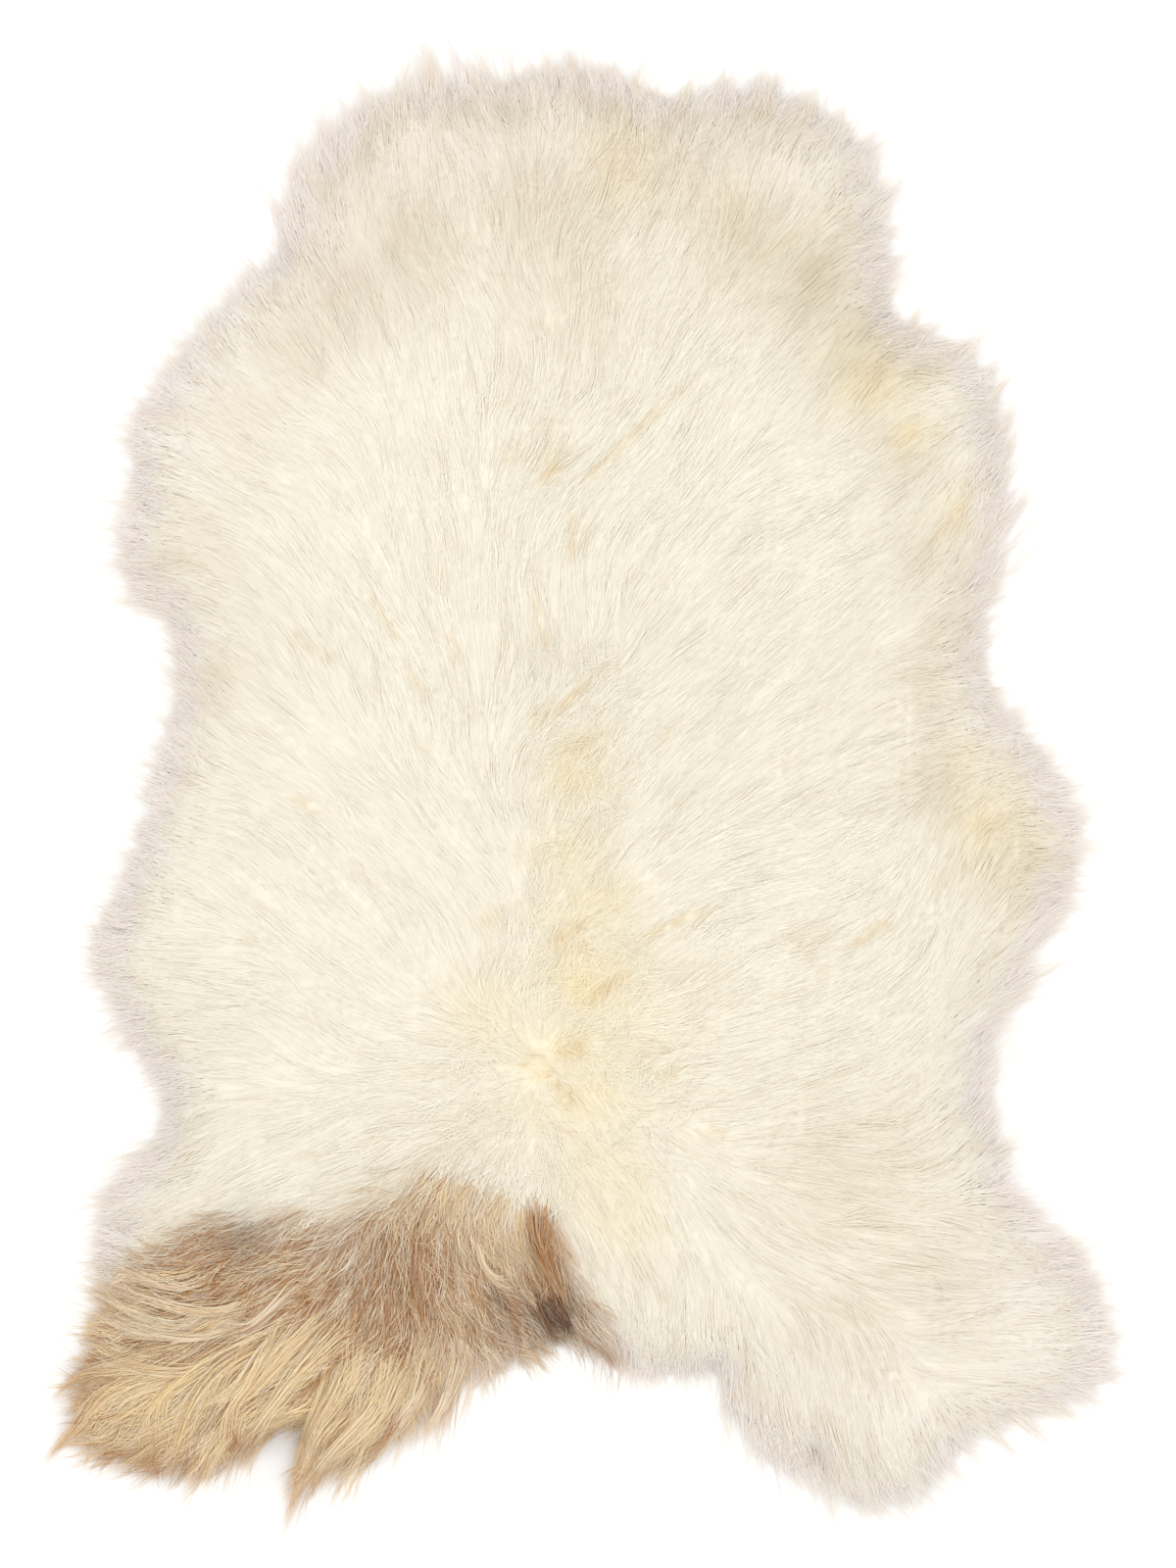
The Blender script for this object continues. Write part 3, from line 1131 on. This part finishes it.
TUFT_STAGES = 7


def bowed(rows, stages):
    """Guides from root to tip, each bowed to its left at its middle."""
    rows = np.array(rows) * MM
    root, tip, bow = rows[:, None, 0:2], rows[:, None, 2:4], rows[:, None, 4:]
    ahead = tip - root
    left = unit(np.stack([-ahead[..., 1], ahead[..., 0]], -1))
    along = np.linspace(0, 1, stages + 1)[None, :, None]
    return PHOTO_MIDDLE + root + ahead * along + left * bow * 4 * along * (1 - along)


count = len(PALE_TUFTS)
looks = draw_looks(chance, count, spread=(3.2, 5.0), gather=(0.55, 0.92), wave=(0.6, 2.0), lift=(0.8, 2.6))
guides = bowed(PALE_TUFTS, TUFT_STAGES)
ribbons = {"per_lock": 30, "width": 0.45 * MM, "own_tilt": 0.35, "stray": 2 * MM}
coats += grow_coat("pale_tufts", guides, looks, seed=12, **ribbons)

# %% Rim coat
RIM_SPACING = 6.4 * MM
RIM_LENGTH = 70 * MM
BUNCH_SIZE = 22 * MM

roots = plant(
    RIM_SPACING,
    lambda p: (read(inset, p) > 4 * MM) & (read(inset, p) < chance.uniform(14, 36, len(p)) * MM),
    chance,
)
count = len(roots)
bunched = 8 * cloud(roots, BUNCH_SIZE, 51)
reach = np.clip(-3 + bunched + 6 * chance.normal(0, 1, count), -18, 11) * MM
reach += 7 * MM * spot(roots, "gold") + TUFT_THINNING * spot(roots, "tufted")
lengths = kept_in(roots, np.full(count, RIM_LENGTH), reach, shortest=12 * MM)
looks = draw_looks(chance, count, spread=4.2, gather=(0.4, 0.95), wave=1.2, lift=(0.4, 2.6))
looks["brown"] = 0.8 * brown_at(roots)
looks["gold"] = brown_at(roots) * chance.uniform(0.2, 0.9, count)
guides = walk(roots, lengths, stages=4, turn=chance.normal(0, 0.18, count))
ribbons = {"per_lock": 10, "width": 0.42 * MM, "own_tilt": 0.2, "stray": 5 * MM}
coats += grow_coat("rim_wool", guides, looks, seed=8, **ribbons)

# %% Stray coat
STRAY_SPACING = 15 * MM
STRAY_LENGTH = 42 * MM

roots = plant(STRAY_SPACING, lambda p: read(inset, p) > 8 * MM, chance)
count = len(roots)
lengths = STRAY_LENGTH * chance.uniform(0.6, 1.3, count)
lengths = kept_in(roots, lengths, np.full(count, -14 * MM), shortest=12 * MM)
looks = draw_looks(chance, count, spread=1.0, gather=0.0, wave=(2.0, 6.0), lift=(3.0, 9.0))
looks["brown"] = 0.6 * brown_at(roots)
looks["gold"] = brown_at(roots) * chance.uniform(0.2, 0.9, count)
guides = walk(roots, lengths, stages=6, turn=chance.normal(0, 0.5, count))
coats += grow_coat("stray_fibres", guides, looks, seed=10, per_lock=1, width=0.4 * MM)

# %% [markdown]
# ## The under-wool
# Between the locks one sees more wool, never skin. A grid laid over the height field, cut back to the slab
# and closed underneath, is that felt-like ground. It stands in for the CAD slab, a little lower than its
# top, most of all near the rim, where the top falls steeply. It leaves room below for the hide.
# %% Under-wool
UNDER_DROP = 0.15 * MM
RIM_DROP = 1.6 * MM
STEEP_FROM = 35 * MM
STEEP_OVER = 15 * MM
UNDER_CELL = 8 * MM
UNDER_INSET = -2 * MM
HIDE_ROOM = 2.6 * MM
LEAST_THICKNESS = 1 * MM
RIM_SMOOTHINGS = 4


def under_wool():
    bm = bmesh.new()
    wide, long = grid_count * GRID
    bmesh.ops.create_grid(bm, x_segments=int(wide / UNDER_CELL), y_segments=int(long / UNDER_CELL), size=0.5)
    middle = grid_low + np.array([wide, long]) / 2
    for vert in bm.verts:
        vert.co = Vector((middle[0] + vert.co.x * wide, middle[1] + vert.co.y * long, 0.0))
    places = np.array([v.co.xy for v in bm.verts])
    set_back = GOLD_THINNING * spot(places, "gold") + TUFT_THINNING * spot(places, "tufted")
    outside = read(inset, places) < UNDER_INSET + set_back
    bm.verts.ensure_lookup_table()
    bmesh.ops.delete(bm, geom=[v for v, out in zip(bm.verts, outside) if out], context="VERTS")
    loose = [v for v in bm.verts if not v.link_faces]
    bmesh.ops.delete(bm, geom=loose, context="VERTS")
    for _ in range(RIM_SMOOTHINGS):
        rim = [v for v in bm.verts if v.is_boundary]
        bmesh.ops.smooth_vert(bm, verts=rim, factor=0.5, use_axis_x=True, use_axis_y=True)
    floor_faces = list(bm.faces)
    bmesh.ops.reverse_faces(bm, faces=floor_faces)
    raised = bmesh.ops.extrude_face_region(bm, geom=floor_faces, use_keep_orig=True)["geom"]
    top = [item for item in raised if isinstance(item, bmesh.types.BMVert)]
    tops = set(top)
    places = np.array([v.co.xy for v in top])
    steep = np.clip((STEEP_FROM - read(inset, places)) / STEEP_OVER, 0, 1)
    for vert, z in zip(top, top_of_wool(places) - UNDER_DROP - RIM_DROP * steep):
        vert.co.z = max(z, HIDE_ROOM + LEAST_THICKNESS)
    for vert in bm.verts:
        if vert not in tops:
            vert.co.z = HIDE_ROOM if not vert.is_boundary else FLOOR_GAP
    bmesh.ops.recalc_face_normals(bm, faces=bm.faces)
    # extruding leaves the walls' faces in an order that changes from run to run
    by_place = sorted(bm.faces, key=lambda face: tuple(face.calc_center_median()))
    rank = {face: k for k, face in enumerate(by_place)}
    bm.faces.sort(key=rank.get)
    mesh = bpy.data.meshes.new("under_wool")
    bm.to_mesh(mesh)
    bm.free()
    mesh.shade_smooth()
    return mesh


def paint_under_wool(mesh):
    """The same attributes as the ribbons', so that the same wool material reads them."""
    places = np.array([v.co.xy for v in mesh.vertices])
    brown = brown_at(places)
    dark = np.maximum(spot(places, "dark"), 0.25 * brown)
    tints = wool_tints(places)
    tints[:, 3] *= 1 - 0.7 * brown
    dyes = np.stack([brown, np.zeros(len(places)), spot(places, "rust"), dark], 1)
    add_attributes(mesh, dyes, tints, np.full((len(places), 4), 0.5))


ground = under_wool()
paint_under_wool(ground)
ground_piece = make_piece("under_wool", ground)
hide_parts("fleece")
coats.append(ground_piece)
print("under-wool faces:", len(ground.polygons))

# %% [markdown]
# ## The hide
# The underside is the tanned skin with its flesh side sueded: matt, warm beige, with cloudy patches where
# the tanning took unevenly and a fine nap. The CAD node is already right, so it only gets a material.
# %% Suede hide
PATCH_SIZE = 111 * MM
NAP_SIZE = 1.43 * MM  # real nap is several times finer, and wouldn't show
NAP_DEPTH = 0.6 * MM


def suede():
    made, shader = new_material("sueded_hide", {"Roughness": 0.92, "Sheen Weight": 0.35, "IOR": 1.5})
    place = add_node(made, "TexCoord")["Object"]
    patches = add_node(made, "TexNoise", {"Vector": place}, {"Scale": 1 / PATCH_SIZE, "Detail": 5.0})["Fac"]
    nap = add_node(made, "TexNoise", {"Vector": place}, {"Scale": 1 / NAP_SIZE, "Detail": 3.0})["Fac"]
    colour = add_ramp(made, patches, {0.3: "#C2A583", 0.7: "#DCC6A6"})
    colour = dye(made, colour, "#B49672", nap)
    made.node_tree.links.new(colour, shader.inputs["Base Color"])
    bump = add_node(made, "Bump", {"Height": nap}, {"Strength": 0.35, "Distance": NAP_DEPTH})["Normal"]
    made.node_tree.links.new(bump, shader.inputs["Normal"])
    return made


hide_node.data.materials.clear()
hide_node.data.materials.append(suede())
